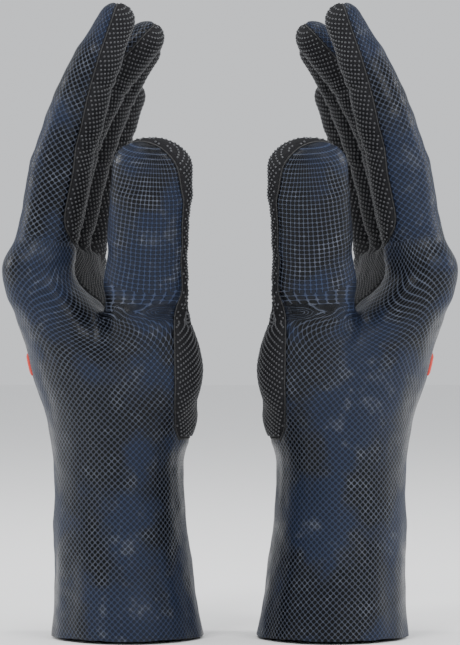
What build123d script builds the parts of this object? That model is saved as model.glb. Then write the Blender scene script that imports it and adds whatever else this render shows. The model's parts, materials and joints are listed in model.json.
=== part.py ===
"""A pair of full-finger sailing gloves, standing upright on their cuffs with the palms facing each other.

Row frame: millimetres, +Z up the forearm, +X to the right, the thumbs towards -Y. The origin is the middle of
the pair's box, on the surface that the cuffs stand on. The left glove is modelled about its own cuff axis, then
placed at -X. The right glove is its mirror image.

Each glove is a shell of soft sheet with a hollow for the hand. Its panels are cut where the fabric folds, so
that every length of finger is a rigid body of its own, joined to the next by a hinge.
"""

import os
from dataclasses import dataclass
from math import copysign, cos, pi, radians, sin

from build123d import *

# ---- driving sizes, mm and degrees ----
WALL = 2.2  # thickness of the lined rubber sheet
GLOVE_X, GLOVE_Y = 42.7, 11.31  # from the middle of the pair to each cuff's axis
FOLD_GAP = 0.4  # clearance on each side of a fold, at its hinge
SIDE_CLEARANCE = 0.4  # between a finger's side and the web beside it
FOLD_DEPTH = 0.32  # a fold's hinge lies this share of the digit's depth in from its palm side
OVERRUN = 12.0  # how far a tube is drawn past its folds before it is cut back
REACH = 90.0  # size of the cutting prisms

# How far each fold turns towards the palm, then away from it.
WRIST_TRAVEL = (14.0, 25.0)
KNUCKLE_TRAVEL = (50.0, 20.0)
MIDDLE_TRAVEL = (55.0, 15.0)
END_RATIO = 0.6  # the end fold turns this much of the middle fold's turn
END_TRAVEL = tuple(END_RATIO * turn for turn in MIDDLE_TRAVEL)
THUMB_ROOT_TRAVEL = (30.0, 15.0)
THUMB_TIP_TRAVEL = (45.0, 10.0)

WRIST_X, WRIST_Z = -3.2, 78.0  # the wrist fold's place
HAND_TOP = 184.0  # how high the hand's shell is drawn before the knuckle folds cut it

PALM_BOTTOM = 83.0  # lower edge of the palm panel
SPLIT_Y = -8.0  # the thumb side's seam rules below this y, and the little finger's above it
THUMB_SEAM = ((19.0, PALM_BOTTOM), (19.0, 122.0), (-4.0, 143.0), (-24.0, 158.0), (-25.0, HAND_TOP))
FAR_SEAM = ((2.0, PALM_BOTTOM), (-6.0, 104.0), (-26.0, 150.0), (-24.0, HAND_TOP))

BADGE_Y, BADGE_Z = 6.0, 112.5
BADGE_WIDTH, BADGE_HEIGHT, BADGE_THICKNESS = 28.0, 9.0, 0.8

WEB_HEIGHT = 15.0  # how far a web reaches down between two fingers
WEB_DROP = 2.0  # how far a web stays below the knuckle folds

# Level ovals: height, centre x, centre y, half depth along x, half breadth along y, squareness (2 is an ellipse)
# and turn in degrees, which cups the palm by bringing the little finger's side forward.
CUFF_RINGS = (
    (0.0, 0.4, 0.0, 31.2, 38.0, 2.0, 0.0),
    (20.0, -1.2, 0.0, 29.3, 36.6, 2.0, 0.0),
    (45.0, -2.9, 0.0, 27.4, 34.4, 2.0, 0.0),
    (68.0, -3.2, 0.0, 26.8, 33.4, 2.0, 0.0),
    (90.0, -3.2, 0.0, 27.2, 33.6, 2.0, 0.0),
)
HAND_RINGS = (
    (62.0, -3.2, 0.0, 26.8, 33.4, 2.0, 0.0),
    (76.0, -3.2, 0.0, 27.4, 34.0, 2.0, 0.0),
    (90.0, -3.4, 1.2, 30.2, 38.0, 2.1, -1.0),
    (108.0, -9.0, 3.4, 29.4, 42.6, 2.2, -4.0),
    (128.0, -20.6, 4.4, 22.0, 45.0, 2.4, -9.0),
    (150.0, -31.6, 4.8, 15.0, 46.4, 2.8, -12.0),
    (HAND_TOP, -23.6, 5.0, 14.0, 46.4, 3.0, -12.0),
)
THENAR_RINGS = (
    (84.0, 2.0, -8.0, 21.0, 20.0),
    (102.0, 8.8, -20.0, 21.4, 20.0),
    (122.0, 9.4, -32.0, 18.8, 17.6),
)
THUMB_SKIRT = (8.0, 1.12)  # the thumb's root this far below its fold is this much larger than the fold's oval


@dataclass(frozen=True)
class Digit:
    """A finger or thumb: a chain of tapered oval tubes that bend in one plane.

    start is the middle of the first fold. palmward and upward span the plane of bending. leans are the angles
    of the lengths from upward towards palmward. depths and widths are the oval's at each fold and at the end.
    travels are how far each fold turns towards the palm and away from it.
    """

    name: str
    start: tuple
    palmward: tuple
    upward: tuple
    leans: tuple
    lengths: tuple
    depths: tuple
    widths: tuple
    travels: tuple

    @property
    def side(self):
        """Direction of the hinges: a positive turn bends the digit towards the palm."""
        return Vector(*self.upward).cross(Vector(*self.palmward)).normalized()

    def directions(self, lean):
        """The direction along the digit and the direction out of its palm side, at a lean."""
        palm = Vector(*self.palmward).normalized()
        up = Vector(*self.upward).normalized()
        turn = radians(lean)
        return palm * sin(turn) + up * cos(turn), palm * cos(turn) - up * sin(turn)

    def middle(self, i):
        """Middle of the digit at fold i, or at its end."""
        point = Vector(*self.start)
        for lean, length in zip(self.leans[:i], self.lengths):
            point = point + self.directions(lean)[0] * length
        return point

    def fold(self, i):
        """Fold i as its hinge point, its direction along the digit and its direction to the palm."""
        along, pad = self.directions((self.leans[max(i - 1, 0)] + self.leans[i]) / 2)
        return self.middle(i) + pad * self.depths[i] * (0.5 - FOLD_DEPTH), along, pad

    def plane(self, i, at):
        """The plane across length i, at a distance from its first fold. Its x is the way to the palm side."""
        along, pad = self.directions(self.leans[i])
        return Plane(origin=self.middle(i) + along * at, x_dir=pad, z_dir=along)

    def size(self, i, at):
        """Depth and width of length i, at a distance from its first fold."""
        share = at / self.lengths[i]
        depth = self.depths[i] + (self.depths[i + 1] - self.depths[i]) * share
        return depth, self.widths[i] + (self.widths[i + 1] - self.widths[i]) * share


def finger(name, x, y, z, splay, leans, lengths, depth, width):
    """A finger whose tube narrows towards its end. splay is its lean away from the thumb, in degrees."""
    return Digit(
        name=name,
        start=(x, y, z),
        palmward=(1, 0, 0),
        upward=(0, sin(radians(splay)), cos(radians(splay))),
        leans=leans,
        lengths=lengths,
        depths=(depth, depth * 0.97, depth * 0.87, depth * 0.7),
        widths=(width, width * 0.97, width * 0.9, width * 0.78),
        travels=(KNUCKLE_TRAVEL, MIDDLE_TRAVEL, END_TRAVEL),
    )


FINGERS = (
    finger("index", -31.8, -28.2, 165.0, -2.0, (11.0, 20.0, 27.0), (38.3, 28.0, 34.2), 25.0, 20.6),
    finger("middle", -32.4, -5.5, 165.0, -0.5, (12.0, 28.0, 50.0), (40.3, 30.0, 32.4), 24.6, 20.6),
    finger("ring", -28.2, 16.6, 164.0, 1.0, (14.0, 24.0, 38.0), (36.7, 28.0, 31.0), 24.0, 20.0),
    finger("little", -21.8, 37.2, 161.0, 3.0, (13.0, 18.0, 28.0), (27.7, 21.5, 26.5), 22.0, 18.6),
)
THUMB = Digit(
    name="thumb",
    start=(8.6, -45.6, 146.0),
    palmward=(0, 1, 0),
    upward=(sin(radians(4.0)), 0, cos(radians(4.0))),
    leans=(-25.0, -18.0),
    lengths=(29.0, 33.0),
    depths=(24.6, 24.0, 18.0),
    widths=(31.2, 33.6, 31.0),
    travels=(THUMB_ROOT_TRAVEL, THUMB_TIP_TRAVEL),
)


def rounded(value, power):
    """A sine or cosine raised to power, with its sign kept."""
    return copysign(abs(value) ** power, value)


def oval(half_depth, half_breadth, squareness):
    """A closed oval face between an ellipse, at squareness 2, and a rectangle."""
    turns = [2 * pi * step / 24 for step in range(24)]
    power = 2 / squareness
    points = [(half_depth * rounded(cos(t), power), half_breadth * rounded(sin(t), power)) for t in turns]
    return make_face(Spline(*points, periodic=True))


def ring_loft(rings, inset=0.0):
    """A smooth solid through level ovals, drawn in by inset all round."""
    faces = []
    for z, x, y, a, b, square, turn in rings:
        faces.append(Pos(x, y, z) * Rot(0, 0, turn) * oval(a - inset, b - inset, square))
    return loft(faces)


def thenar(inset=0.0):
    """The ball of the thumb: a smooth solid from the heel of the hand up past the thumb's first fold."""
    faces = []
    for z, x, y, a, b in THENAR_RINGS:
        level = Plane(origin=(x, y, z), x_dir=(0, 1, 0), z_dir=(0, 0, 1))
        faces.append(level * Ellipse(b - inset, a - inset))
    drop, growth = THUMB_SKIRT
    for at, scaling in ((-drop, growth), (OVERRUN, 1.0)):
        depth, width = THUMB.size(0, at)
        faces.append(THUMB.plane(0, at) * Ellipse(depth * scaling / 2 - inset, width * scaling / 2 - inset))
    return loft(faces)


def prism(hinge, side, travel, beyond, reach=REACH):
    """The space that a piece keeps past a fold (beyond 1) or before it (beyond -1).

    Its edge is FOLD_GAP from the hinge line. Each of its faces is half of that side's travel away from the
    fold's middle plane, so that the two prisms of a fold just meet at the ends of the travel.
    """
    pivot, along, pad = hinge
    palm_turn, back_turn = (radians(turn / 2) for turn in travel)
    points = (
        (0, FOLD_GAP),
        (reach * cos(palm_turn), FOLD_GAP + reach * sin(palm_turn)),
        (reach * cos(palm_turn), 2 * reach),
        (-reach * cos(back_turn), 2 * reach),
        (-reach * cos(back_turn), FOLD_GAP + reach * sin(back_turn)),
    )
    outline = Polyline(*[(x, y * beyond) for x, y in points], close=True)
    plane = Plane(origin=pivot, x_dir=pad, z_dir=side * -1)
    return extrude(plane * make_face(outline), amount=reach, both=True)


def fold_prism(digit, i, beyond):
    """The space that a digit's piece keeps beside fold i."""
    return prism(digit.fold(i), digit.side, digit.travels[i], beyond)


def wrist_prism(beyond):
    """The space that the hand (1) or the cuff (-1) keeps beside the wrist fold."""
    hinge = (Vector(WRIST_X, 0, WRIST_Z), Vector(0, 0, 1), Vector(1, 0, 0))
    return prism(hinge, Vector(0, 1, 0), WRIST_TRAVEL, beyond)


def tube(digit, i, inset):
    """Length i as a filled tapered tube, drawn past its folds, or rounded off at the digit's end."""

    def section(at):
        depth, width = digit.size(i, at)
        return digit.plane(i, at) * Ellipse(depth / 2 - inset, width / 2 - inset)

    if i < len(digit.leans) - 1:
        return loft([section(-OVERRUN), section(digit.lengths[i] + OVERRUN)])
    dome = digit.depths[i + 1] * 0.62
    base = digit.lengths[i] - dome
    depth, width = digit.size(i, base)
    cap = scale(Sphere(1.0), by=(depth / 2 - inset, width / 2 - inset, dome - inset))
    return loft([section(-OVERRUN), section(base)]) + digit.plane(i, base) * cap


def digit_nodes(digit):
    """A digit's pieces by name: each length but the last is a back and a palm half, and the last is a cap."""
    last = len(digit.leans) - 1
    stages = ("base", "middle")[:last] + ("tip",)
    nodes = {}
    for i, stage in enumerate(stages):
        shell = (tube(digit, i, 0.0) - tube(digit, i, WALL)) & fold_prism(digit, i, 1)
        if i == last:
            nodes[f"{digit.name}_{stage}"] = shell
            continue
        shell = shell & fold_prism(digit, i + 1, -1)
        seam = Plane(origin=digit.middle(i), x_dir=digit.side, z_dir=digit.directions(digit.leans[i])[1])
        nodes[f"{digit.name}_{stage}_back"] = split(shell, bisect_by=seam, keep=Keep.BOTTOM)
        nodes[f"{digit.name}_{stage}_palm"] = split(shell, bisect_by=seam, keep=Keep.TOP)
    return nodes


def between(first, second):
    """The y half way between two neighbouring fingers' facing sides, and the room there."""
    near = first.start[1] + first.widths[0] / 2
    far = second.start[1] - second.widths[0] / 2
    return (near + far) / 2, far - near


def knuckle_cuts():
    """For each finger, the space above its knuckle fold that the hand's shell leaves free."""
    edges = [-REACH, *(between(a, b)[0] for a, b in zip(FINGERS, FINGERS[1:])), REACH]
    cuts = []
    for digit, low, high in zip(FINGERS, edges, edges[1:]):
        slab = Pos(0, (low + high) / 2, digit.start[2]) * Box(4 * REACH, high - low, REACH)
        cuts.append(slab - prism(digit.fold(0), Vector(0, 1, 0), digit.travels[0], -1, 2 * REACH))
    return cuts


def palm_side(seam, low_y, high_y):
    """Everything on the palm side of a seam line, between two values of y."""
    corners = (*seam, (REACH, seam[-1][1]), (REACH, seam[0][1]))
    face = make_face(Polyline(*[(x, 0, z) for x, z in corners], close=True))
    return extrude(Pos(0, low_y, 0) * face, amount=high_y - low_y, dir=(0, 1, 0))


def hand_nodes():
    """The hand's back and palm panels and the badge on its back."""
    hand, cavity = ring_loft(HAND_RINGS), ring_loft(HAND_RINGS, WALL)
    shell = hand + (thenar() & fold_prism(THUMB, 0, -1)) - cavity - thenar(WALL)
    shell = shell & wrist_prism(1)
    for cut in knuckle_cuts():
        shell = shell - cut
    palm_block = palm_side(THUMB_SEAM, -REACH, SPLIT_Y) + palm_side(FAR_SEAM, SPLIT_Y, REACH)
    patch = Pos(-REACH / 2, BADGE_Y, BADGE_Z) * Box(REACH, BADGE_WIDTH, BADGE_HEIGHT)
    return {
        "back_panel": shell - palm_block,
        "palm_panel": shell & palm_block,
        "badge": (ring_loft(HAND_RINGS, -BADGE_THICKNESS) - hand) & patch,
    }


def web_nodes():
    """The web in each crotch: a thin upright strip of sheet inside the hand, between two fingers."""
    cavity = ring_loft(HAND_RINGS, WALL)
    nodes = {}
    for first, second in zip(FINGERS, FINGERS[1:]):
        y, room = between(first, second)
        top = min(first.start[2], second.start[2]) - WEB_DROP
        strip = Pos(0, y, top - WEB_HEIGHT / 2) * Box(2 * REACH, room - 2 * SIDE_CLEARANCE, WEB_HEIGHT)
        nodes[f"web_{first.name}_{second.name}"] = strip & cavity
    return nodes


def glove_nodes():
    """Every piece of the left glove about its own cuff axis, by name."""
    gauntlet = ring_loft(CUFF_RINGS) - ring_loft(CUFF_RINGS, WALL)
    nodes = {"cuff": gauntlet & wrist_prism(-1), **hand_nodes(), **web_nodes()}
    for digit in (*FINGERS, THUMB):
        nodes.update(digit_nodes(digit))
    return nodes


def main():
    """Writes each piece of both gloves to parts/."""
    os.makedirs("parts", exist_ok=True)
    for name, shape in glove_nodes().items():
        left = Pos(-GLOVE_X, GLOVE_Y, 0) * shape
        export_step(left, f"parts/left_{name}.step")
        export_step(mirror(left, about=Plane.YZ), f"parts/right_{name}.step")


if __name__ == "__main__":
    main()
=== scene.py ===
"""A pair of long-cuffed sailing gloves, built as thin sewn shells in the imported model's frame.

The left glove's outer form is one smooth surface, the zero level of a distance field in millimetres about the
cuff's axis. It is cut along its seams and folds into panels, each given a thickness, and the right glove is the
mirror image of the left.
"""

import json
import logging
import math
from dataclasses import dataclass, field
from enum import Enum
from typing import Callable

import bpy
import numpy as np
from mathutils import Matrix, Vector


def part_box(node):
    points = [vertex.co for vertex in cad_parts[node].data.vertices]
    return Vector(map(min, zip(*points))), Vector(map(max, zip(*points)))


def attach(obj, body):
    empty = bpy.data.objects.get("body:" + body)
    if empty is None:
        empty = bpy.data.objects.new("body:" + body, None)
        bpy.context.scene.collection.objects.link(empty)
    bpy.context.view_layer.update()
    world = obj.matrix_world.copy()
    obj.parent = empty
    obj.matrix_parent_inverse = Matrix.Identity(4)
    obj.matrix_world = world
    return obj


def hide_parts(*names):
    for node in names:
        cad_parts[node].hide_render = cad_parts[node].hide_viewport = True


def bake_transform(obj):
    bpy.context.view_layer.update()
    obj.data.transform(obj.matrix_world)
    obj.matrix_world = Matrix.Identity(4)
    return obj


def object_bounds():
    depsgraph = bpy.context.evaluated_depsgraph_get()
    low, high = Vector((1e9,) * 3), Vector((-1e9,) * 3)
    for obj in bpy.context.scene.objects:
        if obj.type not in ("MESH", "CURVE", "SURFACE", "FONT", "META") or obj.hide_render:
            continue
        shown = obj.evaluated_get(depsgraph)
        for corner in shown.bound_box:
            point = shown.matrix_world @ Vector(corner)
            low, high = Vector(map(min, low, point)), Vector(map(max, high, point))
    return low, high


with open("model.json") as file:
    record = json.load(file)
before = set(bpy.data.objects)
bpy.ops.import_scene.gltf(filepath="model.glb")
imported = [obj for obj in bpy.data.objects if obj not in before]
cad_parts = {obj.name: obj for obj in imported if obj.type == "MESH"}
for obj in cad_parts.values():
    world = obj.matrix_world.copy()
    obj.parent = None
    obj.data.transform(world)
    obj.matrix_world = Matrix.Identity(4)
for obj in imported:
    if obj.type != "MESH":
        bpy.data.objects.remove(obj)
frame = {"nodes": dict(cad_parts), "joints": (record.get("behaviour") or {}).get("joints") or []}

log = logging.getLogger("gloves")

Array = np.ndarray
MM = 0.001  # lengths are in millimetres up to the point where a mesh is made

CELL = 1.5  # grid step of the surface
GRID_LOW, GRID_HIGH = np.array([-58.0, -80.0, -6.0]), np.array([38.0, 62.0, 268.0])
THICKNESS = 2.1  # of the sheet

WRIST_TO_AXIS = 3.2  # the cuff's axis stands this far in +X of the left wrist's hinge
HINGE_OFFSET = 0.18  # hinges lie this share of the depth palmward of a digit's middle line
BAND = (-4.0, 13.0)  # a fold's skin bends between these distances along the digit from its hinge
START = {"index": -1.0, "middle": -1.0, "ring": -1.0, "little": 0.0, "thumb": 2.0}  # BAND[0] of the first fold
WRIST_BAND = (66.0, 92.0)  # the wrist's skin bends between these heights

# Height, centre x, centre y, half depth, half breadth, squareness and turn in degrees of the cuff and hand.
RINGS = np.array([
    (-8.0, 0.8, 0.0, 32.0, 38.8, 2.0, 0.0),
    (0.0, 0.4, 0.0, 31.2, 38.0, 2.0, 0.0),
    (20.0, -1.2, 0.0, 29.3, 36.6, 2.0, 0.0),
    (45.0, -2.9, 0.0, 27.4, 34.4, 2.0, 0.0),
    (66.0, -3.2, 0.0, 26.8, 33.4, 2.0, 0.0),
    (76.0, -3.4, 0.0, 27.4, 34.2, 2.0, 0.0),
    (90.0, -3.6, 1.2, 30.0, 38.0, 2.1, -1.0),
    (108.0, -9.6, 3.4, 29.4, 42.6, 2.2, -4.0),
    (128.0, -20.8, 4.4, 22.2, 45.0, 2.4, -9.0),
    (150.0, -31.8, 4.8, 15.2, 46.4, 2.8, -12.0),
    (184.0, -23.6, 5.0, 14.0, 46.4, 3.0, -12.0),
])
RING_SMOOTHING = 14  # millimetres of height over which the rings are averaged
HAND_TOP = 160.0

# The ball of the thumb: two capsules, from the heel of the hand to the ball and on to the thumb's root.
HEEL, BALL = np.array([7.6, -7.0, 94.0]), np.array([8.8, -23.0, 110.0])
LOW_RADII, HIGH_RADII = (19.4, 19.8), (18.8, 13.4)

CORNER = 10.0  # a digit's middle line is cut this far either side of each fold
LENGTH_MIX = 6.0  # one length's directions run into the next's while both are as near as this
FINGER_ROOT = -20.0  # a finger starts this far before its knuckle, inside the hand

# The seam's place in x against height, at the front of the hand and round its far side.
NEAR_SEAM = ((82, 132, 143, 147, 154, 172, 190), (20.8, 20.8, 23.5, 20, -15, -22, -22))
FAR_SEAM = ((82, 104, 150, 172, 190), (2, -4, -23, -21, -18))
SEAM_END = 81.8  # the black panel starts at this height
FINGER_RISE, THUMB_RISE = (156, 20), (136, 14)  # the hand's line joins theirs from a height, over a run
SIDE_SEAM = 1.5  # a digit's seam lies this far palmward of its middle line
INDEX_SHIFT = 4.5  # and the index finger's, up to height 190, this much further
THUMB_TILT = math.radians(24)  # the thumb's seam is turned this much about it

# The sheet's slack as height, size and seed of waves, and its creases and groove as depths and half widths.
SLACK = ((0.3, 26.0, 3), (0.1, 9.0, 5))
CUFF_SLACK, CUFF_STRETCH = (0.35, 17.0, 8), (1.0, 1.0, 0.35)
CREASE_DEPTH = 0.8
CREASES = ((1.0, 0.0, 1.6), (0.6, 5.0, 1.3))  # share of the depth, distance past the hinge, half width
GROOVE_DEPTH, GROOVE_WIDTH = 0.75, 1.1
FAR_FROM_SEAM = 30.0  # the greatest seam distance kept

CLOTH_TURN = math.radians(45)  # the net's angle to the hand
NET_PITCH = 1.8  # side of one square of the net

DOT_PITCH = 1.75  # between neighbouring grip dots
DOT_TURN = 0.35  # radians from the net to the rows of dots
DOT_MARGIN = 0.9  # bare cloth beside a seam
STUD = ((0.52, -0.35), (0.52, 0.1), (0.34, 0.36))  # radius and height of a grip dot's rings
SIDES = 6  # of a grip dot and of the seam's cord
CAP = np.array([(0, k, k + 1) for k in range(1, SIDES - 1)])  # closes a ring

CORD_RADIUS, CORD_SWELL = 0.36, 0.1  # of the seam's cord, which swells at each stitch
CORD_STITCH, CORD_LIFT = 2.6, 0.1  # a stitch's length, and the cord's height off the sheet
PATCH_GRID = (22, 8)  # points across and up the badge
PATCH_HEIGHT, PATCH_EDGE_DROP, PATCH_DEPTH = 0.9, 0.5, 0.5

SENSOR, LENS, VIEW_WIDTH = 36.0, 200.0, 0.266  # camera sensor and lens, and the width seen in metres
LAMPS = (  # name, place from the middle in metres, width, power
    ("key", (-0.7, -1.5, 1.5), 0.6, 26.0),
    ("fill", (0.9, -1.5, 0.9), 0.7, 18.0),
    ("top", (0.0, -0.1, 1.9), 1.0, 14.0),
    ("left_edge", (-1.5, 0.3, 0.5), 0.5, 14.0),
    ("right_edge", (1.5, 0.3, 0.5), 0.5, 14.0),
)


class Blend:
    """Widths over which parts of the form run together."""

    LENGTHS = 1.0
    FINGERS = 5.0
    THUMB = 6.0
    THENAR = 8.0
    HAND_TOP = 8.0
    HAND = 9.0
    SEAM_END = 6.0


@dataclass(frozen=True)
class Girth:
    """A digit's depth and width at each fold and at its end, in millimetres."""

    depths: tuple[float, ...]
    widths: tuple[float, ...]
    cap: float  # how long the rounded end is


def finger_girth(depth: float, width: float) -> Girth:
    """The girth of a finger that narrows towards its end."""
    depths = (depth, depth * 0.97, depth * 0.85, depth * 0.52)
    widths = (width, width * 0.97, width * 0.9, width * 0.7)
    return Girth(depths, widths, depth * 0.36)


GIRTHS = {
    "index": finger_girth(25.0, 20.2),
    "middle": finger_girth(24.6, 20.2),
    "ring": finger_girth(24.0, 19.6),
    "little": finger_girth(22.0, 18.4),
    "thumb": Girth((25.0, 24.0, 17.0), (31.0, 32.8, 30.4), 13.0),
}


@dataclass(frozen=True)
class Digit:
    """A digit of the left glove in millimetres: its hinges, middle line, directions and girth."""

    name: str
    hinges: Array
    middles: Array
    side: Array
    pads: Array
    girth: Girth

    @property
    def stages(self) -> tuple[str, ...]:
        """Its moving lengths, from the hand outwards."""
        return ("base", "tip") if self.name == "thumb" else ("base", "middle", "tip")

    def along(self, i: int) -> Array:
        """Direction of length i."""
        way = self.middles[i + 1] - self.middles[i]
        return way / np.linalg.norm(way)

    def across_fold(self, i: int) -> Array:
        """Direction midway between the lengths that meet at fold i."""
        way = self.along(max(i - 1, 0)) + self.along(i)
        return way / np.linalg.norm(way)


def unit(rows: Array, least: float = 0.0) -> Array:
    """Each row divided by its length, or by least if it is shorter."""
    return rows / np.maximum(np.linalg.norm(rows, axis=1), least)[:, None]


def joint(name: str) -> tuple[Array, Array]:
    """A joint's place in millimetres and its axis, in the row frame."""
    found = next(j for j in frame["joints"] if j["name"] == name)
    return np.array(found["pos_m"]) / MM, np.array(found["axis"], float)


WRIST, _ = joint("left_wrist")
AXIS = np.array([WRIST[0] + WRIST_TO_AXIS, WRIST[1], 0.0])


def read_digit(name: str) -> Digit:
    """A digit's line from its joints, and its end from its packed tip."""
    folds = ("root", "tip") if name == "thumb" else ("knuckle", "middle", "end")
    found = [joint(f"left_{name}_{fold}") for fold in folds]
    hinges = np.array([pos for pos, _ in found]) - AXIS
    side = -found[0][1] if name == "thumb" else found[0][1]
    tip = np.array([v.co for v in frame["nodes"][f"left_{name}_tip"].data.vertices]) / MM - AXIS
    end = tip[np.argmax(np.linalg.norm(tip - hinges[-1], axis=1))]
    girth = GIRTHS[name]
    ways = np.diff(np.vstack([hinges, end]), axis=0)
    ways -= np.outer(ways @ side, side)
    pads = np.cross(side, unit(ways))
    fold_pads = np.vstack([pads[:1], (pads[1:] + pads[:-1]) / 2])
    middles = hinges - fold_pads * HINGE_OFFSET * np.array(girth.depths[:-1])[:, None]
    return Digit(name, hinges, np.vstack([middles, end]), side, pads, girth)


DIGITS = tuple(read_digit(name) for name in GIRTHS)
FINGERS, THUMB = DIGITS[:4], DIGITS[4]


# ---- the form ----
def smooth_min(a: Array, b: Array, k: float) -> Array:
    """The lesser of a and b, rounded where they differ by less than k."""
    h = np.maximum(k - np.abs(a - b), 0) / k
    return np.minimum(a, b) - h * h * k / 4


def ease(t: Array) -> Array:
    """Smoothstep: t^2 (3 - 2t), with t held between 0 and 1."""
    t = np.clip(t, 0, 1)
    return t * t * (3 - 2 * t)


def rise(value: Array, start: float, run: float) -> Array:
    """Goes smoothly from 0 at start to 1 a run further on."""
    return ease((value - start) / run)


def ring_table() -> tuple[Array, Array]:
    """The rings' six sizes at every millimetre of height, averaged over RING_SMOOTHING."""
    z = np.arange(RINGS[0, 0] - 20, RINGS[-1, 0] + 20)
    kernel = np.hanning(RING_SMOOTHING + 2)[1:-1]
    kernel /= kernel.sum()
    margin = RING_SMOOTHING // 2
    rows = [np.interp(z, RINGS[:, 0], RINGS[:, k]) for k in range(1, 7)]
    padded = [np.pad(row, margin, mode="edge") for row in rows]
    return z, np.array([np.convolve(row, kernel, "same")[margin:-margin] for row in padded])


RING_Z, RING_ROWS = ring_table()


def ring_distance(p: Array) -> Array:
    """Distance from the stack of level ovals: (g - 1) / |grad g|, with g the oval's norm."""
    x, y, a, b, n, turn = (np.interp(p[:, 2], RING_Z, row) for row in RING_ROWS)
    dx, dy, turn = p[:, 0] - x, p[:, 1] - y, np.radians(turn)
    u = np.abs(dx * np.cos(turn) + dy * np.sin(turn)) / a + 1e-6
    v = np.abs(dy * np.cos(turn) - dx * np.sin(turn)) / b + 1e-6
    g = (u**n + v**n) ** (1 / n)
    slope = g ** (1 - n) * np.sqrt((u ** (n - 1) / a) ** 2 + (v ** (n - 1) / b) ** 2)
    return (g - 1) / np.maximum(slope, 1e-3)


def limb_distance(p: Array, a: Array, b: Array, radii: tuple, side: Array, squash: float) -> Array:
    """Distance from a tapered capsule whose size along side is divided by squash."""
    rel, way = p - a, b - a
    rel = rel + np.outer(rel @ side, side) * (squash - 1)
    way = way + side * (way @ side) * (squash - 1)
    t = np.clip(rel @ way / (way @ way), 0, 1)
    return np.linalg.norm(rel - t[:, None] * way, axis=1) - (radii[0] + (radii[1] - radii[0]) * t)


def rounded_line(digit: Digit) -> tuple[Array, Array, Array, Array]:
    """The middle line with its corners cut, each length's palmward way, and the half depths and widths."""
    m, depths, widths = digit.middles, digit.girth.depths, digit.girth.widths
    points, sizes = [m[0]], [(depths[0], widths[0])]
    for i in range(len(m) - 1):
        length = np.linalg.norm(m[i + 1] - m[i])
        stops = ([CORNER] if i else []) + ([length - CORNER] if i < len(m) - 2 else [length])
        for walked in stops:
            share = walked / length
            points.append(m[i] + (m[i + 1] - m[i]) * share)
            sizes.append([v[i] + (v[i + 1] - v[i]) * share for v in (depths, widths)])
    points, sizes = np.array(points), np.array(sizes)
    ways = unit(np.diff(points, axis=0))
    return points, np.cross(digit.side, ways), sizes[:, 0] / 2, sizes[:, 1] / 2


def digit_distance(p: Array, digit: Digit) -> Array:
    """Distance from a digit: oval lengths that taper along its middle line, then a rounded end."""
    m, pads, depths, widths = rounded_line(digit)
    total = None
    for i, pad in enumerate(pads):
        last = i == len(pads) - 1
        length = np.linalg.norm(m[i + 1] - m[i])
        way, rel = (m[i + 1] - m[i]) / length, p - m[i]
        root = FINGER_ROOT if i == 0 and digit.name != "thumb" else 0.0
        end = length - digit.girth.cap if last else length
        t = np.clip(rel @ way, root, end)
        share = np.clip(t / length, 0, 1)
        depth = depths[i] + (depths[i + 1] - depths[i]) * share
        width = widths[i] + (widths[i + 1] - widths[i]) * share
        past = rel @ way - t
        reach = np.where((past > 0) & last, digit.girth.cap, depth)
        u, v, w = past / reach, rel @ pad / depth, rel @ digit.side / width
        g = np.sqrt(u * u + v * v + w * w) + 1e-6
        slope = np.sqrt((u / reach) ** 2 + (v / depth) ** 2 + (w / width) ** 2) / g
        d = (g - 1) / np.maximum(slope, 1e-3)
        total = d if total is None else smooth_min(total, d, Blend.LENGTHS)
    return total


def thenar_distance(p: Array) -> Array:
    """Distance from the ball of the thumb, whose capsules flatten towards the thumb's root."""
    low = limb_distance(p, HEEL, BALL, LOW_RADII, THUMB.side, 0.96)
    root, squash = THUMB.middles[0], THUMB.girth.depths[0] / THUMB.girth.widths[0]
    high = limb_distance(p, BALL, root, HIGH_RADII, THUMB.side, (squash + 1) / 2 - 0.02)
    return smooth_min(low, high, Blend.THENAR)


def form(p: Array) -> Array:
    """The glove's outer surface: below zero inside."""
    hand = -smooth_min(-ring_distance(p), HAND_TOP - p[:, 2], Blend.HAND_TOP)
    fingers = np.min([digit_distance(p, digit) for digit in FINGERS], axis=0)
    thumb = smooth_min(thenar_distance(p), digit_distance(p, THUMB), Blend.THUMB)
    return smooth_min(smooth_min(hand, fingers, Blend.FINGERS), thumb, Blend.HAND)


def gradient(f: Callable[[Array], Array], p: Array, h: float = 0.05) -> Array:
    """Slope of f at each point, from central differences."""
    steps = np.eye(3) * h
    return np.stack([(f(p + s) - f(p - s)) / (2 * h) for s in steps], axis=1)


# ---- the seam and the folds, as fields whose zero is the cut ----
def seam_field(p: Array) -> Array:
    """Above zero on the palm's panel and below it on the back's."""
    z = p[:, 2]
    near, far = (p[:, 0] - np.interp(z, *line) for line in (NEAR_SEAM, FAR_SEAM))
    hand = near + (far - near) * ease((p[:, 1] + 22 + 10 * rise(z, 136, 10)) / 12)
    weights, sides = [], []
    for digit in FINGERS:
        reach = digit_distance(p, digit)
        lower = INDEX_SHIFT * (1 - rise(z, 190, 50)) if digit.name == "index" else 0.0
        sides.append(stage_field(p, digit) - lower)
        weights.append(np.exp(-np.clip(reach, -6, 40) / 1.5))
    weights = np.array(weights)
    finger = (np.array(sides) * weights).sum(0) / weights.sum(0)
    level = hand + (finger - hand) * rise(z, *FINGER_RISE)
    past_hand = digit_distance(p, THUMB) - np.minimum(ring_distance(p), 30)
    share = rise(z, *THUMB_RISE) * ease((2 - past_hand) / 10) * ease((-20 - p[:, 1]) / 10)
    level = level + (stage_field(p, THUMB) - level) * share
    return smooth_min(level, z - SEAM_END, Blend.SEAM_END)


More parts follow.
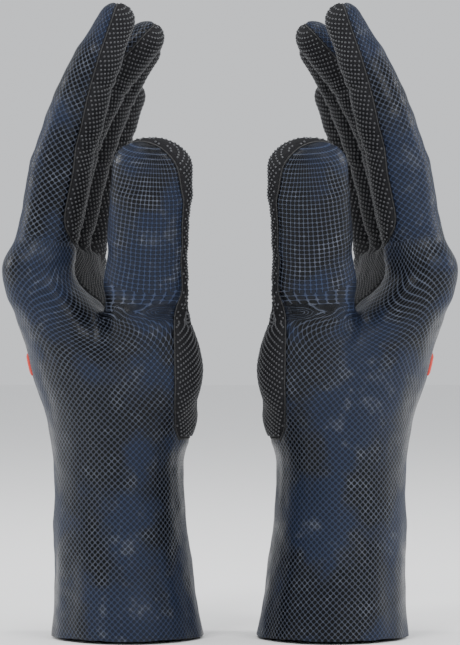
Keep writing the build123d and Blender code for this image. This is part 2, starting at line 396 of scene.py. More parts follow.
def stage_field(p: Array, digit: Digit) -> Array:
    """How far a point is palmward of a digit's side seams."""
    best, value = None, None
    tilt = THUMB_TILT if digit.name == "thumb" else 0.0
    for i, pad in enumerate(digit.pads):
        pad = pad * math.cos(tilt) + np.array([math.sin(tilt), 0, 0])
        a, b = digit.middles[i], digit.middles[i + 1]
        t = np.clip((p - a) @ (b - a) / ((b - a) @ (b - a)), 0, 1)
        gap = np.linalg.norm(p - a - t[:, None] * (b - a), axis=1)
        here = (p - a) @ pad
        if best is None:
            best, value = gap, here
        else:
            mix = ease(0.5 + (best - gap) / LENGTH_MIX)
            value = value + (here - value) * mix
            best = np.minimum(best, gap)
    return value - SIDE_SEAM


def owner(p: Array) -> Array:
    """Which digit each point is nearest to, by its place in DIGITS."""
    return np.argmin([digit_distance(p, d) for d in DIGITS], axis=0)


def fold_field(digit: Digit, i: int) -> Callable[[Array], Array]:
    """Distance past the start of fold i's bending skin, for points of that digit; -1 elsewhere."""
    k = DIGITS.index(digit)
    way = digit.across_fold(i)
    start = digit.hinges[i] + way * (BAND[0] if i else START[digit.name])

    def past_fold(p: Array) -> Array:
        """The field of this fold."""
        near = np.linalg.norm(p - start, axis=1) < 60
        return np.where(near & (owner(p) == k), (p - start) @ way, -1.0)

    return past_fold


# ---- meshing ----
def surface_net(values: Array, low: Array, step: float) -> tuple[Array, Array]:
    """Quads between the cells where a grid of values changes sign, one vertex to a cell."""
    inside = values < 0
    ends = [slice(i, i - 1 or None) for i in (0, 1)]
    cells = np.stack([inside[i, j, k] for i in ends for j in ends for k in ends])
    active = cells.any(0) & ~cells.all(0)
    index = np.full(active.shape, -1)
    index[active] = np.arange(active.sum())
    total, count = np.zeros(active.shape + (3,)), np.zeros(active.shape)
    quads = []
    for axis in range(3):
        lead = np.moveaxis(values, axis, 0)
        a, b = lead[:-1], lead[1:]
        cross = (a < 0) != (b < 0)
        t = np.where(cross, a / np.where(a == b, 1, a - b), 0)
        sums, counts = np.moveaxis(total, axis, 0), np.moveaxis(count, axis, 0)
        for j in (0, 1):
            for k in (0, 1):
                part = (slice(None), slice(j, j - 1 or None), slice(k, k - 1 or None))
                c, shift = cross[part], t[part]
                counts += c
                others = [o for o in range(3) if o != axis]
                sums[..., axis] += c * shift
                sums[..., others[0]] += c * j
                sums[..., others[1]] += c * k
        ids = np.moveaxis(index, axis, 0)
        inner = cross[:, 1:-1, 1:-1]
        ring = np.stack([ids[:, :-1, :-1], ids[:, 1:, :-1], ids[:, 1:, 1:], ids[:, :-1, 1:]], -1)[inner]
        flip = (a < 0)[:, 1:-1, 1:-1][inner] ^ (axis == 1)
        quads.append(np.where(flip[:, None], ring, ring[:, ::-1]))
    place = np.argwhere(active) + total[active] / count[active][:, None]
    return low + place * step, np.vstack(quads)


def settle(p: Array, quads: Array) -> Array:
    """Evens out the vertices along the surface and brings them to its zero level."""
    edges = np.vstack([quads[:, [k, (k + 1) % 4]] for k in range(4)])
    degree = np.bincount(edges.ravel(), minlength=len(p))[:, None]
    for _ in range(6):
        mean = np.zeros_like(p)
        np.add.at(mean, edges[:, 0], p[edges[:, 1]])
        np.add.at(mean, edges[:, 1], p[edges[:, 0]])
        slope = gradient(form, p)
        square = (slope**2).sum(1)[:, None]
        move = (mean / degree - p) * 0.6
        move -= slope * ((move * slope).sum(1)[:, None] / square)
        p = p + move
        p = p - slope * (form(p)[:, None] / square)
    return p


def to_triangles(p: Array, quads: Array) -> Array:
    """Splits each quad along its shorter diagonal."""
    a, b, c, d = quads.T
    short = np.linalg.norm(p[a] - p[c], axis=1) < np.linalg.norm(p[b] - p[d], axis=1)
    first = np.where(short[:, None], np.stack([a, b, c], 1), np.stack([a, b, d], 1))
    second = np.where(short[:, None], np.stack([a, c, d], 1), np.stack([b, c, d], 1))
    return np.vstack([first, second])


def cut(p: Array, tris: Array, f: Callable[[Array], Array], snap: float = 0.16) -> tuple[Array, Array]:
    """Adds vertices where f crosses zero, so that no triangle lies on both sides."""
    s = f(p)
    s = np.where(np.abs(s) < snap, 0.0, s)
    edges = np.sort(np.vstack([tris[:, [0, 1]], tris[:, [1, 2]], tris[:, [2, 0]]]), axis=1)
    edges = np.unique(edges, axis=0)
    crossed = edges[s[edges[:, 0]] * s[edges[:, 1]] < 0]
    lengths = np.linalg.norm(p[crossed[:, 0]] - p[crossed[:, 1]], axis=1)
    crossed = crossed[np.abs(s[crossed]).sum(1) < 8 * np.maximum(lengths, 0.5)]
    if not len(crossed):
        return p, tris
    t = s[crossed[:, 0]] / (s[crossed[:, 0]] - s[crossed[:, 1]])
    fresh = p[crossed[:, 0]] + (p[crossed[:, 1]] - p[crossed[:, 0]]) * t[:, None]
    key = crossed[:, 0].astype(np.int64) * len(p) + crossed[:, 1]

    def middle(a: Array, b: Array) -> Array:
        """The vertex added on each edge from a to b, or -1."""
        lo, hi = np.minimum(a, b).astype(np.int64), np.maximum(a, b)
        at = np.searchsorted(key, lo * len(p) + hi)
        at = np.minimum(at, len(key) - 1)
        return np.where(key[at] == lo * len(p) + hi, at + len(p), -1)

    mids = np.stack([middle(tris[:, k], tris[:, (k + 1) % 3]) for k in range(3)], 1)
    number = (mids >= 0).sum(1)
    out = [tris[number == 0]]
    for k in range(3):
        a, b, c = tris[:, k], tris[:, (k + 1) % 3], tris[:, (k + 2) % 3]
        ab, ca = mids[:, k], mids[:, (k + 2) % 3]
        one = (number == 1) & (ab >= 0)
        out += [np.stack([a, ab, c], 1)[one], np.stack([ab, b, c], 1)[one]]
        two = (number == 2) & (ab >= 0) & (ca >= 0)
        out += [np.stack(x, 1)[two] for x in ((a, ab, ca), (ab, b, c), (ab, c, ca))]
    return np.vstack([p, fresh]), np.vstack(out)


def vertex_normals(p: Array, tris: Array) -> Array:
    """Unit normals, each the sum of its faces' by area."""
    face = np.cross(p[tris[:, 1]] - p[tris[:, 0]], p[tris[:, 2]] - p[tris[:, 0]])
    total = np.zeros_like(p)
    for k in range(3):
        np.add.at(total, tris[:, k], face)
    return unit(total, 1e-12)


# ---- relief ----
def waves(p: Array, size: float, seed: int, count: int = 14) -> Array:
    """Soft aperiodic relief between about -1 and 1: a sum of sines in fixed directions, size apart."""
    rng = np.random.default_rng(seed)
    ways = unit(rng.normal(size=(count, 3)))
    rates = 2 * np.pi / (size * rng.uniform(0.7, 1.5, count))
    return np.sin((p @ ways.T) * rates + rng.uniform(0, 6.3, count)).sum(1) / math.sqrt(count * 0.9)


def relief(p: Array, normals: Array, seam: Array) -> Array:
    """How far the sheet stands off the form: slack, creases at the folds and a groove along the seams."""
    height = sum(amount * waves(p, size, seed) for amount, size, seed in SLACK)
    amount, size, seed = CUFF_SLACK
    height += ease((80 - p[:, 2]) / 20) * amount * waves(p * CUFF_STRETCH, size, seed)
    owners, reach = owner(p), np.min([digit_distance(p, d) for d in DIGITS], axis=0)
    for k, digit in enumerate(DIGITS):
        mine = (owners == k) * ease((5 - reach) / 5)
        for i, hinge in enumerate(digit.hinges):
            past = (p - hinge) @ digit.across_fold(i)
            palm = ease(0.35 + normals @ digit.pads[i])
            fold = sum(share * np.exp(-(((past - at) / width) ** 2)) for share, at, width in CREASES)
            height -= mine * palm * CREASE_DEPTH * fold
    return height - GROOVE_DEPTH * np.exp(-((seam / GROOVE_WIDTH) ** 2))


# ---- the glove ----
@dataclass
class Skin:
    """The left glove's whole surface after cutting, in millimetres about the cuff's axis."""

    points: Array
    tris: Array
    normals: Array
    seam: Array
    back: Array
    segment: Array
    uv: dict[bool, Array] = field(default_factory=dict)


@dataclass(frozen=True)
class Segment:
    """A length of the glove that is one piece per panel, and the bodies that it bends between."""

    name: str
    nodes: dict[bool, tuple[str, ...]]
    bodies: tuple[str, str] | None
    start: Array | None
    end: Array | None


def segments() -> tuple[Segment, ...]:
    """The cuff, the hand and every stage of every digit, in the order of the labels."""
    webs = ("web_index_middle", "web_middle_ring", "web_ring_little")
    low, high = (np.array([0, 0, z]) for z in WRIST_BAND)
    nodes = {True: ("back_panel",), False: ("palm_panel", *webs)}
    found = [
        Segment("cuff", {True: ("cuff",), False: ()}, None, None, None),
        Segment("hand", nodes, ("cuff", "hand"), low, high),
    ]
    for digit in DIGITS:
        parent = "hand"
        for i, stage in enumerate(digit.stages):
            name = f"{digit.name}_{stage}"
            first = START[digit.name] if i == 0 else BAND[0]
            reach = (first, first + BAND[1] - BAND[0])
            start, end = (digit.hinges[i] + digit.across_fold(i) * past for past in reach)
            tip = stage == "tip"
            nodes = {True: (name if tip else f"{name}_back",), False: () if tip else (f"{name}_palm",)}
            found.append(Segment(name, nodes, (parent, name), start, end))
            parent = name
    return tuple(found)


def past_edge(p: Array) -> Array:
    """Height above the cuff's open edge, which waves a little."""
    return p[:, 2] - 0.35 - 0.3 * np.sin(p[:, 1] * 0.16) - 0.05 * np.sin(p[:, 0] * 0.5)


def past_wrist(p: Array) -> Array:
    """Height above the cut between cuff and hand."""
    return p[:, 2] - WRIST_BAND[0]


def seam_distance(p: Array, normals: Array) -> Array:
    """Distance along the surface from the seam: its field over the field's slope in the surface."""
    slope = gradient(seam_field, p, 0.3)
    slope -= normals * (slope * normals).sum(1)[:, None]
    steepness = np.maximum(np.linalg.norm(slope, axis=1), 0.25)
    return np.clip(seam_field(p) / steepness, -FAR_FROM_SEAM, FAR_FROM_SEAM)


def build_skin(step: float) -> Skin:
    """Meshes the form and cuts it along its open edge, its seam and its folds."""
    axes = [np.arange(a, b, step) for a, b in zip(GRID_LOW, GRID_HIGH)]
    grid = np.stack(np.meshgrid(*axes, indexing="ij"), -1)
    values = np.concatenate([form(part.reshape(-1, 3)) for part in np.array_split(grid, 12)])
    points, quads = surface_net(values.reshape(grid.shape[:3]), GRID_LOW, step)
    points = settle(points, quads)
    tris = to_triangles(points, quads)
    log.info("surface: %d points, %d triangles", len(points), len(tris))
    folds = [fold_field(d, i) for d in DIGITS for i in range(len(d.stages))]
    for f in (past_edge, seam_field, past_wrist, *folds):
        points, tris = cut(points, tris, f)
    centre = points[tris].mean(1)
    keep = past_edge(centre) > 0
    tris, centre = tris[keep], centre[keep]
    used, tris = np.unique(tris, return_inverse=True)
    points, tris = points[used], tris.reshape(-1, 3)
    segment = (centre[:, 2] > WRIST_BAND[0]).astype(int)
    for label, past_fold in enumerate(folds, start=2):
        segment[past_fold(centre) > 0] = label
    normals = unit(gradient(form, points))
    seam = seam_distance(points, normals)
    raised = points + normals * relief(points, normals, seam)[:, None]
    return Skin(raised, tris, vertex_normals(raised, tris), seam, seam_field(centre) < 0, segment)


def slice_table() -> tuple[Array, Array, Array]:
    """Distance round each level slice of the hand from its front: heights, angles, and the distances."""
    z, turns = np.arange(-4.0, 174.0, 3.0), np.radians(np.arange(-220, 221, 4))
    radii = np.arange(4.0, 84.0, 1.0)
    centre_x, centre_y = (np.interp(z, RING_Z, row) for row in RING_ROWS[:2])
    way_x, way_y = np.sin(turns), -np.cos(turns)
    x = centre_x[:, None, None] + way_x[None, :, None] * radii
    y = centre_y[:, None, None] + way_y[None, :, None] * radii
    points = np.stack([x, y, np.broadcast_to(z[:, None, None], x.shape)], -1).reshape(-1, 3)
    level = smooth_min(ring_distance(points), thenar_distance(points), Blend.HAND).reshape(x.shape)
    first = np.argmax(level > 0, axis=2)[..., None]
    inner, outer = (np.take_along_axis(level, first - k, axis=2)[..., 0] for k in (1, 0))
    radius = radii[first[..., 0]] - outer / np.maximum(outer - inner, 1e-6)
    edge = np.stack([way_x * radius, way_y * radius], -1)
    walked = np.cumsum(np.linalg.norm(np.diff(edge, axis=1), axis=2), axis=1)
    walked = np.pad(walked, ((0, 0), (1, 0)))
    return z, turns, walked - walked[:, [len(turns) // 2]] + centre_x[:, None] * 0.5


def slice_place(p: Array, turn: Array, table: tuple[Array, Array, Array]) -> Array:
    """The pattern place of points on the hand or cuff: round the slice, then height."""
    z, turns, walked = table
    row, column = (p[:, 2] - z[0]) / (z[1] - z[0]), (turn - turns[0]) / (turns[1] - turns[0])
    i, j = np.clip(row.astype(int), 0, len(z) - 2), np.clip(column.astype(int), 0, len(turns) - 2)
    s, t = row - i, column - j
    low = walked[i, j] * (1 - t) + walked[i, j + 1] * t
    high = walked[i + 1, j] * (1 - t) + walked[i + 1, j + 1] * t
    return np.stack([low * (1 - s) + high * s, p[:, 2]], 1)


def chain_place(p: Array, digit: Digit) -> tuple[Array, Array, Array]:
    """Distance along a digit, and how far palmward and sideways of its middle line each point is."""
    best = None
    walked = 0.0
    for i, pad in enumerate(digit.pads):
        a, b = digit.middles[i], digit.middles[i + 1]
        length = np.linalg.norm(b - a)
        rel, way = p - a, (b - a) / length
        here = np.stack([walked + rel @ way, rel @ pad, rel @ digit.side])
        gap = np.linalg.norm(rel - np.clip(rel @ way, 0, length)[:, None] * way, axis=1)
        if best is None:
            best, value = gap, here
        else:
            mix = ease(0.5 + (best - gap) / LENGTH_MIX)
            value = value + (here - value) * mix
            best = np.minimum(best, gap)
        walked += length
    return value


def slice_turn(p: Array) -> Array:
    """The angle of each point about the middle of its level slice, from the front."""
    x, y = (np.interp(p[:, 2], RING_Z, row) for row in RING_ROWS[:2])
    return np.arctan2(p[:, 0] - x, y - p[:, 1])


def lay_flat(skin: Skin, back: bool) -> Array:
    """One panel's pattern: a place in millimetres on the flat cloth for each corner of its triangles.

    The cuff and hand are unrolled slice by slice from the front, and each digit about its own middle line.
    The cloth is turned by CLOTH_TURN, but less towards the back of the thumb, where it runs straight.
    """
    table = slice_table()
    mine = skin.back == back
    tris, label = skin.tris[mine], skin.segment[mine]
    corners = skin.points[tris]
    flat = np.zeros((len(tris), 3, 2))
    hand = label <= 1
    hand_corners = corners[hand].reshape(-1, 3)
    middle = slice_turn(corners[hand].mean(1))[:, None]
    turn = slice_turn(hand_corners).reshape(-1, 3)
    turn = middle + (turn - middle + math.pi) % (2 * math.pi) - math.pi
    flat[hand] = slice_place(hand_corners, turn.ravel(), table).reshape(-1, 3, 2)
    spin = np.full(len(tris) * 3, CLOTH_TURN).reshape(-1, 3)
    number = 2
    root = THUMB.middles[0]
    pivot = slice_place(root[None], slice_turn(root[None]), table)[0]
    for digit in DIGITS:
        chosen = (label >= number) & (label < number + len(digit.stages))
        number += len(digit.stages)
        points = corners[chosen].reshape(-1, 3)
        walked, palmward, aside = chain_place(points, digit)
        sign = -1 if back else 1
        radius = (digit.girth.depths[0] + digit.girth.widths[0]) / 4 * 0.97
        squash = digit.girth.depths[0] / digit.girth.widths[0]
        around = sign * radius * np.arctan2(aside * squash, sign * palmward)
        start = digit.middles[0] + digit.pads[0] * sign * digit.girth.depths[0] / 2
        base = slice_place(start[None], slice_turn(start[None]), table)[0]
        flat[chosen] = (base + np.stack([around, walked], 1)).reshape(-1, 3, 2)
        if digit is THUMB and back:
            spin[chosen] = 0
    if back:
        straight = rise(hand_corners[:, 2], 104, 42) * ease((34 - digit_distance(hand_corners, THUMB)) / 34)
        spin[hand] = (CLOTH_TURN * (1 - straight)).reshape(-1, 3)
    x, y = np.split(flat - pivot, 2, axis=-1)
    c, s = np.cos(spin)[..., None], np.sin(spin)[..., None]
    return np.concatenate([x * c - y * s, x * s + y * c], -1)


# ---- finishes ----
class Finish(Enum):
    """The materials, each with a slot name; no finish takes its colour from these."""

    SKIN = "navy_skin"
    PALM = "grip_palm"
    BADGE = "badge_red"


class Nodes:
    """A short way to lay down shader nodes."""

    def __init__(self, name: str) -> None:
        """Starts a material with its own shader."""
        self.material = bpy.data.materials.new(name)
        self.material.use_nodes = True
        self.tree = self.material.node_tree
        self.shader = self.tree.nodes["Principled BSDF"]

    def add(self, kind: str, inputs: dict | None = None, **settings) -> bpy.types.Node:
        """Adds a node. An input is a value, a socket to link, or a node whose first output is linked."""
        node = self.tree.nodes.new(kind)
        for key, value in settings.items():
            setattr(node, key, value)
        for key, value in (inputs or {}).items():
            self.feed(node.inputs[key], value)
        return node

    def feed(self, socket: bpy.types.NodeSocket, value) -> None:
        """Links or sets one input."""
        if isinstance(value, bpy.types.Node):
            value = value.outputs[0]
        if isinstance(value, bpy.types.NodeSocket):
            self.tree.links.new(value, socket)
        else:
            socket.default_value = value

    def math(self, operation: str, a, b=0.0, c=0.0) -> bpy.types.Node:
        """One sum on up to three values or sockets."""
        return self.add("ShaderNodeMath", {0: a, 1: b, 2: c}, operation=operation)

    def mix(self, share, a, b) -> bpy.types.Node:
        """Colour a, running to b as share goes from 0 to 1."""
        return self.add("ShaderNodeMix", {0: share, 6: a, 7: b}, data_type="RGBA")

    def ramp(self, value, low: float, high: float) -> bpy.types.Node:
        """A smooth step from 0 at low to 1 at high."""
        return self.add("ShaderNodeMapRange", {0: value, 1: low, 2: high}, interpolation_type="SMOOTHSTEP")

    def noise(self, place, scale: float, detail: float, **more: float) -> bpy.types.Node:
        """Cloudy noise; a larger scale is finer."""
        inputs = {"Vector": place, "Scale": scale, "Detail": detail}
        return self.add("ShaderNodeTexNoise", inputs | {key.title(): value for key, value in more.items()})

    def surface(self, base, roughness, specular: float | None = None) -> None:
        """Sets the shader's colour, roughness and, if given, its shine."""
        self.feed(self.shader.inputs["Base Color"], base)
        self.feed(self.shader.inputs["Roughness"], roughness)
        if specular is not None:
            self.feed(self.shader.inputs["Specular IOR Level"], specular)

    def bump(self, height, distance: float) -> None:
        """Raises the surface by height times a distance in metres."""
        node = self.add("ShaderNodeBump", {"Height": height, "Distance": distance, "Strength": 1.0})
        self.feed(self.shader.inputs["Normal"], node)


def colour(node) -> bpy.types.NodeSocket:
    """The colour output of a Mix node."""
    return node.outputs[2]


def net_height(n: Nodes, pitch: float) -> bpy.types.Node:
    """The embossed net: 0 on threads that cross at right angles, 1 in the middle of a square."""
    uv = n.add("ShaderNodeUVMap", uv_map="UVMap")
    parts = n.add("ShaderNodeSeparateXYZ", {0: uv})
    cells = []
    for k in range(2):
        phase = n.math("MULTIPLY", parts.outputs[k], math.pi / (pitch * MM))
        cells.append(n.math("ABSOLUTE", n.math("SINE", phase)))
    return n.math("MULTIPLY", cells[0], cells[1])


def skin_finish() -> bpy.types.Material:
    """Navy rubber sheet, mottled with charcoal, with lighter patches painted on as highlights, embossed with a
    fine net whose pits are painted near black as shade.
    """
    n = Nodes("navy_net_skin")
    place = n.add("ShaderNodeTexCoord").outputs["Object"]
    cloud = n.noise(place, 30.0, 3.0, roughness=0.55)
    painted_glint_noise = n.noise(place, 120.0, 4.0, roughness=0.7)
    share = n.ramp(cloud.outputs[0], 0.43, 0.57)
    base = n.mix(share, (0.023, 0.033, 0.066, 1), (0.038, 0.045, 0.064, 1))
    # painted highlight: patches of lighter grey-blue, placed by the noise above, stand in for glints of the net
    base = n.mix(n.ramp(painted_glint_noise.outputs[0], 0.5, 0.75), colour(base), (0.085, 0.096, 0.125, 1))
    pit = n.ramp(net_height(n, NET_PITCH), 0.1, 0.42)
    depth = n.math("MULTIPLY", pit, n.math("MULTIPLY_ADD", share, 0.26, 0.74))
    # painted shade: the net's pits are darkened towards near black, standing in for the shadow inside them; the
    # same pits also drive the bump below
    dark = n.mix(depth, colour(base), (0.0004, 0.0006, 0.0014, 1))
    seam = n.add("ShaderNodeAttribute", attribute_name="seam")
    near = n.ramp(seam.outputs["Fac"], 1.0, 0.4)
    edged = n.mix(near, colour(dark), (0.004, 0.004, 0.005, 1))
    n.surface(colour(edged), n.math("MULTIPLY_ADD", share, -0.14, 0.46), 0.16)
    fine = n.noise(place, 900.0, 2.0)
    n.bump(n.math("MULTIPLY_ADD", fine.outputs[0], 0.16, n.math("MULTIPLY", depth, -1.0)), 0.0007)
    return n.material


def palm_finish() -> bpy.types.Material:
    """Black synthetic palm cloth with a fine weave."""
    n = Nodes("black_palm_cloth")
    uv = n.add("ShaderNodeUVMap", uv_map="UVMap")
    weave = n.noise(uv, 1400.0, 2.0)
    base = n.mix(weave.outputs[0], (0.0025, 0.0025, 0.003, 1), (0.008, 0.008, 0.01, 1))
    n.surface(colour(base), 0.75, 0.2)
    n.bump(weave.outputs[0], 0.0002)
    return n.material


def plain_finish(name: str, base: tuple, roughness: float, grain: float = 0.0) -> bpy.types.Material:
    """One colour that varies by a fifth either way, with a grain of that many millimetres."""
    n = Nodes(name)
    noise = n.noise(n.add("ShaderNodeTexCoord").outputs["Object"], 600.0, 2.0)
    dark, light = ((*[min(c * share, 1) for c in base], 1) for share in (0.8, 1.2))
    n.surface(colour(n.mix(noise.outputs[0], dark, light)), roughness)
    if grain:
        n.bump(noise.outputs[0], grain * MM)
    return n.material


# ---- pieces ----
@dataclass
class Sewing:
    """Makes mesh pieces for one glove from geometry of the left one."""

    hand: str
    finishes: dict[str, bpy.types.Material]

    def place(self, points: Array) -> Array:
        """From millimetres about the left cuff's axis to the row frame in metres, mirrored for the right."""
        moved = (points + AXIS) * MM
        return moved * ((-1, 1, 1) if self.hand == "right" else (1, 1, 1))

    def piece(
        self, name: str, points: Array, faces: Array, materials: list[str], slots: Array | None = None,
        uv: Array | None = None, normals: Array | None = None, seam: Array | None = None,
    ) -> bpy.types.Object:
        """A mesh object; uv and normals are per corner, in the order of the faces."""
        mirror = self.hand == "right"
        mesh = bpy.data.meshes.new(f"{self.hand}_{name}")
        if mirror:
            faces = faces[:, ::-1]
        mesh.from_pydata(self.place(points).tolist(), [], faces.tolist())
        for label in materials:
            mesh.materials.append(self.finishes[label])
        if slots is not None:
            mesh.polygons.foreach_set("material_index", slots)
        mesh.polygons.foreach_set("use_smooth", np.ones(len(faces), bool))
        if uv is not None:
            corners = uv.reshape(len(faces), -1, 2)
            corners = corners[:, ::-1] if mirror else corners
            mesh.uv_layers.new(name="UVMap").data.foreach_set("uv", (corners * MM).astype(np.float32).ravel())
        if seam is not None:
            mesh.attributes.new("seam", "FLOAT", "POINT").data.foreach_set("value", seam.astype(np.float32))
        mesh.validate()
        if normals is not None:
            corners = normals.reshape(len(faces), -1, 3)
            corners = corners[:, ::-1] * (-1, 1, 1) if mirror else corners
            mesh.normals_split_custom_set(corners.reshape(-1, 3).tolist())
        obj = bpy.data.objects.new(mesh.name, mesh)
        bpy.context.scene.collection.objects.link(obj)
        return obj

    def follow(self, obj: bpy.types.Object, segment: Segment) -> None:
        """Ties a cuff piece to the cuff's body; any other piece only has its transform baked in place."""
        if segment.bodies is None:
            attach(obj, f"{self.hand}_cuff")
            return
        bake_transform(obj)


def outline(tris: Array) -> Array:
    """The directed edges of a set of triangles that only one of them has."""
    edges = np.vstack([tris[:, [0, 1]], tris[:, [1, 2]], tris[:, [2, 0]]])
    key = edges.min(1).astype(np.int64) * (tris.max() + 1) + edges.max(1)
    _, index, count = np.unique(key, return_inverse=True, return_counts=True)
    return edges[count[index] == 1]


def wall(rim: Array, n: int) -> Array:
    """Triangles from each rim edge to the same edge n vertices on."""
    a, b = rim.T
    return np.vstack([np.stack([b, a, a + n], 1), np.stack([b, a + n, b + n], 1)])


def sew_panel(sewing: Sewing, skin: Skin, segment: Segment, label: int, back: bool) -> None:
    """One closed panel: its outer face, its lining and the cut edge between them."""
    mine = (skin.segment == label) & (skin.back == back)
    if not mine.any():
        return
    tris = skin.tris[mine]
    used, local = np.unique(tris, return_inverse=True)
    local = local.reshape(-1, 3)
    outer, normals, n = skin.points[used], skin.normals[used], len(used)
    points = np.vstack([outer, outer - normals * THICKNESS])
    rims = wall(outline(local), n)
    faces = np.vstack([local, local[:, ::-1] + n, rims])
    uv_outer = skin.uv[back][mine[skin.back == back]]
    uv = np.vstack([uv_outer, uv_outer[:, ::-1], np.zeros((len(rims), 3, 2))])
    a, b, c = (points[rims[:, k]] for k in range(3))
    flat = unit(np.cross(b - a, c - a), 1e-9)
    shading = np.vstack([normals[local], -normals[local[:, ::-1]], np.repeat(flat[:, None], 3, 1)])
    slots = np.repeat([0, 1, 1], [len(local), len(local), len(rims)])
    seam = np.tile(np.abs(skin.seam[used]), 2)
    name = f"{segment.name}_{'back' if back else 'palm'}"
    obj = sewing.piece(name, points, faces, ["skin" if back else "palm", "lining"], slots, uv, shading, seam)
    sewing.follow(obj, segment)
    if segment.nodes[back]:
        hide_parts(*(f"{sewing.hand}_{node}" for node in segment.nodes[back]))


def spread(a: Array, b: Array) -> Array:
    """Signed area between two rows of flat directions."""
    return a[:, 0] * b[:, 1] - a[:, 1] * b[:, 0]


def dot_places(skin: Skin, label: int) -> tuple[Array, Array]:
    """Where one segment's grip dots stand: a square lattice on the palm's cut pattern, turned by DOT_TURN."""
    mine = (skin.segment == label) & ~skin.back
    if not mine.any():
        return np.zeros((0, 3)), np.zeros((0, 3))
    tris, uv = skin.tris[mine], skin.uv[False][mine[~skin.back]] / DOT_PITCH
    cos, sin = math.cos(DOT_TURN), math.sin(DOT_TURN)
    uv = uv @ np.array([[cos, sin], [-sin, cos]])
    low = np.floor(uv.min(1))
    edge_a, edge_b = uv[:, 1] - uv[:, 0], uv[:, 2] - uv[:, 0]
    area = spread(edge_a, edge_b)
    divisor = np.where(area == 0, 1, area)
    places, normals = [], []
    for step in np.ndindex(4, 4):
        rel = low + step - uv[:, 0]
        s, t = spread(rel, edge_b) / divisor, spread(edge_a, rel) / divisor
        inside = (s >= 0) & (t >= 0) & (s + t < 1) & (area != 0)
        weights, corners = np.stack([1 - s - t, s, t], 1)[inside], tris[inside]
        clear = (weights * np.abs(skin.seam[corners])).sum(1) > DOT_MARGIN
        places.append((weights[:, :, None] * skin.points[corners]).sum(1)[clear])
        normals.append((weights[:, :, None] * skin.normals[corners]).sum(1)[clear])
    return np.vstack(places), unit(np.vstack(normals), 1e-9)


def circle(aside: Array, across: Array) -> Array:
    """The corners of a ring of radius 1 in the plane of two directions, for each pair of them."""
    angles = (np.arange(SIDES) * math.pi / 3)[:, None]
    return aside[:, None] * np.cos(angles) + across[:, None] * np.sin(angles)


def sleeve(count: int) -> Array:
    """Triangles round the outside of a stack of rings, seen with the first ring below."""
    a = np.arange((count - 1) * SIDES)
    b = a // SIDES * SIDES + (a + 1) % SIDES
    return np.vstack([np.stack([a, b, b + SIDES], 1), np.stack([a, b + SIDES, a + SIDES], 1)])


def sew_dots(sewing: Sewing, skin: Skin, segment: Segment, label: int) -> None:
    """The raised grip dots of one segment: low studs sunk a little into the cloth."""
    places, normals = dot_places(skin, label)
    if not len(places):
        return
    aside = unit(np.cross(normals, (0.31, 0.52, 0.79)))
    ring = circle(aside, np.cross(normals, aside))
    points = [places[:, None] + ring * radius + normals[:, None] * height for radius, height in STUD]
    points = np.concatenate(points, 1)
    stud = np.vstack([CAP[:, ::-1], sleeve(len(STUD)), CAP + SIDES * (len(STUD) - 1)])
    faces = (stud[None] + np.arange(len(places))[:, None, None] * SIDES * len(STUD)).reshape(-1, 3)
    obj = sewing.piece(f"{segment.name}_grip_dots", points.reshape(-1, 3), faces, ["dots"])
    sewing.follow(obj, segment)


def chains(edges: Array) -> list[Array]:
    """Joins loose edges end to end into lines."""
    links: dict[int, list[int]] = {}
    for a, b in edges.tolist():
        links.setdefault(a, []).append(b)
        links.setdefault(b, []).append(a)
    lines, free = [], {tuple(sorted(e)) for e in edges.tolist()}
    ends = [v for v, near in links.items() if len(near) == 1] + list(links)
    for start in ends:
        line, here = [start], start
        while True:
            onward = next((b for b in links[here] if tuple(sorted((here, b))) in free), None)
            if onward is None:
                break
            free.discard(tuple(sorted((here, onward))))
            line.append(onward)
            here = onward
        if len(line) > 3:
            lines.append(np.array(line))
    return lines


def sew_seam(sewing: Sewing, skin: Skin, segment: Segment, label: int) -> None:
    """The overlocked thread that lies in the seam between back and palm, one closed cord per run."""
    here = skin.segment == label
    if not (here & skin.back).any() or not (here & ~skin.back).any():
        return
    outlines = (outline(skin.tris[here & side]) for side in (skin.back, ~skin.back))
    shared = set.intersection(*({tuple(e) for e in np.sort(edges, axis=1).tolist()} for edges in outlines))
    points, faces, offset = [], [], 0
    for line in chains(np.array(sorted(shared))):
        path = skin.points[line] + skin.normals[line] * CORD_LIFT
        for _ in range(3):
            path[1:-1] = (path[:-2] + 2 * path[1:-1] + path[2:]) / 4
        way = unit(np.gradient(path, axis=0), 1e-9)
        up = unit(skin.normals[line] - way * (skin.normals[line] * way).sum(1)[:, None], 1e-9)
        walked = np.concatenate([[0], np.cumsum(np.linalg.norm(np.diff(path, axis=0), axis=1))])
        radius = CORD_RADIUS + CORD_SWELL * np.sin(walked * 2 * math.pi / CORD_STITCH)
        tube = path[:, None] + circle(up, np.cross(way, up)) * radius[:, None, None]
        points.append(tube.reshape(-1, 3))
        last = (len(line) - 1) * SIDES
        faces.append(np.vstack([sleeve(len(line))[:, ::-1], CAP, CAP[:, ::-1] + last]) + offset)
        offset += len(line) * SIDES
    if not points:
        return
    obj = sewing.piece(f"{segment.name}_seam", np.vstack(points), np.vstack(faces), ["thread"])
    sewing.follow(obj, segment)


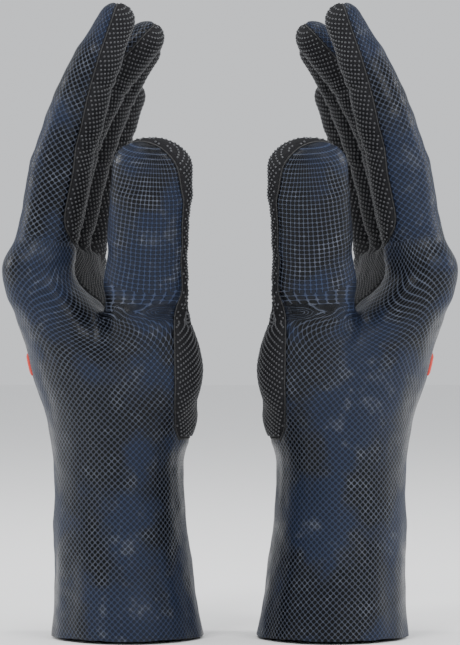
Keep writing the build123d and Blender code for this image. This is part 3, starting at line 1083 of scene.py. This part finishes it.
def sew_badge(sewing: Sewing) -> None:
    """The plain red patch on the back of the hand: a grid brought sideways to the form, then given depth."""
    low, high = (np.array(c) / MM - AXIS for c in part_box("left_badge"))
    rows = (np.linspace(low[k], high[k], count) for k, count in zip((1, 2), PATCH_GRID))
    y, z = np.meshgrid(*rows, indexing="ij")
    points = np.stack([np.full(y.size, low[0]), y.ravel(), z.ravel()], 1)
    for _ in range(12):
        slope = gradient(form, points)
        points[:, 0] -= form(points) / np.where(np.abs(slope[:, 0]) < 0.2, -0.2, slope[:, 0])
    normals = unit(gradient(form, points))
    points += normals * relief(points, normals, np.full(len(points), FAR_FROM_SEAM))[:, None]
    u, v = (np.linspace(-1, 1, count) for count in PATCH_GRID)
    square = np.maximum(np.abs(u)[:, None], np.abs(v)[None]).ravel()
    lift = PATCH_HEIGHT - PATCH_EDGE_DROP * ease((square - 0.9) / 0.1)
    n = len(points)
    solid = np.vstack([points + normals * lift[:, None], points - normals * PATCH_DEPTH])
    index = np.arange(n).reshape(PATCH_GRID)
    corners = (index[:-1, :-1], index[1:, :-1], index[1:, 1:], index[:-1, 1:])
    a, b, c, d = (corner.ravel() for corner in corners)
    top = np.vstack([np.stack([a, c, b], 1), np.stack([a, d, c], 1)])
    faces = np.vstack([top, top[:, ::-1] + n, wall(outline(top), n)])
    obj = sewing.piece("badge_patch", solid, faces, ["badge"])
    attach(obj, f"{sewing.hand}_hand")
    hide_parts(f"{sewing.hand}_badge")


# ---- studio ----
def pale_floor(height: float, reach: float = 6.0) -> bpy.types.Object:
    """A square floor that reaches the same way from the origin on all sides."""
    mesh = bpy.data.meshes.new("floor")
    corners = [(x * reach, y * reach, 0) for x, y in ((-1, -1), (1, -1), (1, 1), (-1, 1))]
    mesh.from_pydata(corners, [], [(0, 1, 2, 3)])
    n = Nodes("floor_pale")
    n.surface((0.9, 0.9, 0.9, 1), 0.9)
    mesh.materials.append(n.material)
    floor = bpy.data.objects.new("floor", mesh)
    floor.location.z = height
    bpy.context.scene.collection.objects.link(floor)
    return floor


def studio(low: Vector, high: Vector) -> None:
    """A pale floor, soft lights and a long lens level with the gloves' middle."""
    centre = (low + high) / 2
    shown = [pale_floor(low.z - 0.0005)]
    for name, place, width, power in LAMPS:
        light = bpy.data.lights.new(name, "AREA")
        light.energy, light.size = power, width
        lamp = bpy.data.objects.new(name, light)
        lamp.location = centre + Vector(place)
        lamp.rotation_euler = (centre - lamp.location).to_track_quat("-Z", "Y").to_euler()
        bpy.context.scene.collection.objects.link(lamp)
        shown.append(lamp)
    world = bpy.data.worlds.new("studio")
    bpy.context.scene.world = world
    world.use_nodes = True
    colour_input, strength = world.node_tree.nodes["Background"].inputs[:2]
    colour_input.default_value, strength.default_value = (0.95, 0.97, 1.0, 1), 0.85
    camera = bpy.data.objects.new("camera", bpy.data.cameras.new("camera"))
    camera.data.lens, camera.data.sensor_width = LENS, SENSOR
    camera.location = centre + Vector((0, -VIEW_WIDTH / SENSOR * LENS, 0.0))
    camera.rotation_euler = (math.pi / 2, 0, 0)
    bpy.context.scene.collection.objects.link(camera)
    bpy.context.scene.camera = camera


def main() -> None:
    """Builds both gloves and the studio."""
    logging.basicConfig(level=logging.INFO)
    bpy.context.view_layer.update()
    skin = build_skin(CELL * (1.0))
    skin.uv = {back: lay_flat(skin, back) for back in (True, False)}
    finishes = {
        "skin": skin_finish(),
        "palm": palm_finish(),
        "lining": plain_finish("dark_lining", (0.03, 0.03, 0.034), 0.9, 0.3),
        "dots": plain_finish("grip_dot_rubber", (0.034, 0.035, 0.039), 0.36),
        "thread": plain_finish("black_seam_thread", (0.008, 0.008, 0.009), 0.6),
        "badge": plain_finish("plain_red_rubber", (0.5, 0.02, 0.008), 0.45),
    }
    for hand in ("left", "right"):
        sewing = Sewing(hand, finishes)
        for label, segment in enumerate(segments()):
            for back in (True, False):
                sew_panel(sewing, skin, segment, label, back)
            sew_dots(sewing, skin, segment, label)
            sew_seam(sewing, skin, segment, label)
        sew_badge(sewing)
    low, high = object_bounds()
    studio(low, high)


if __name__ == "__main__":
    main()
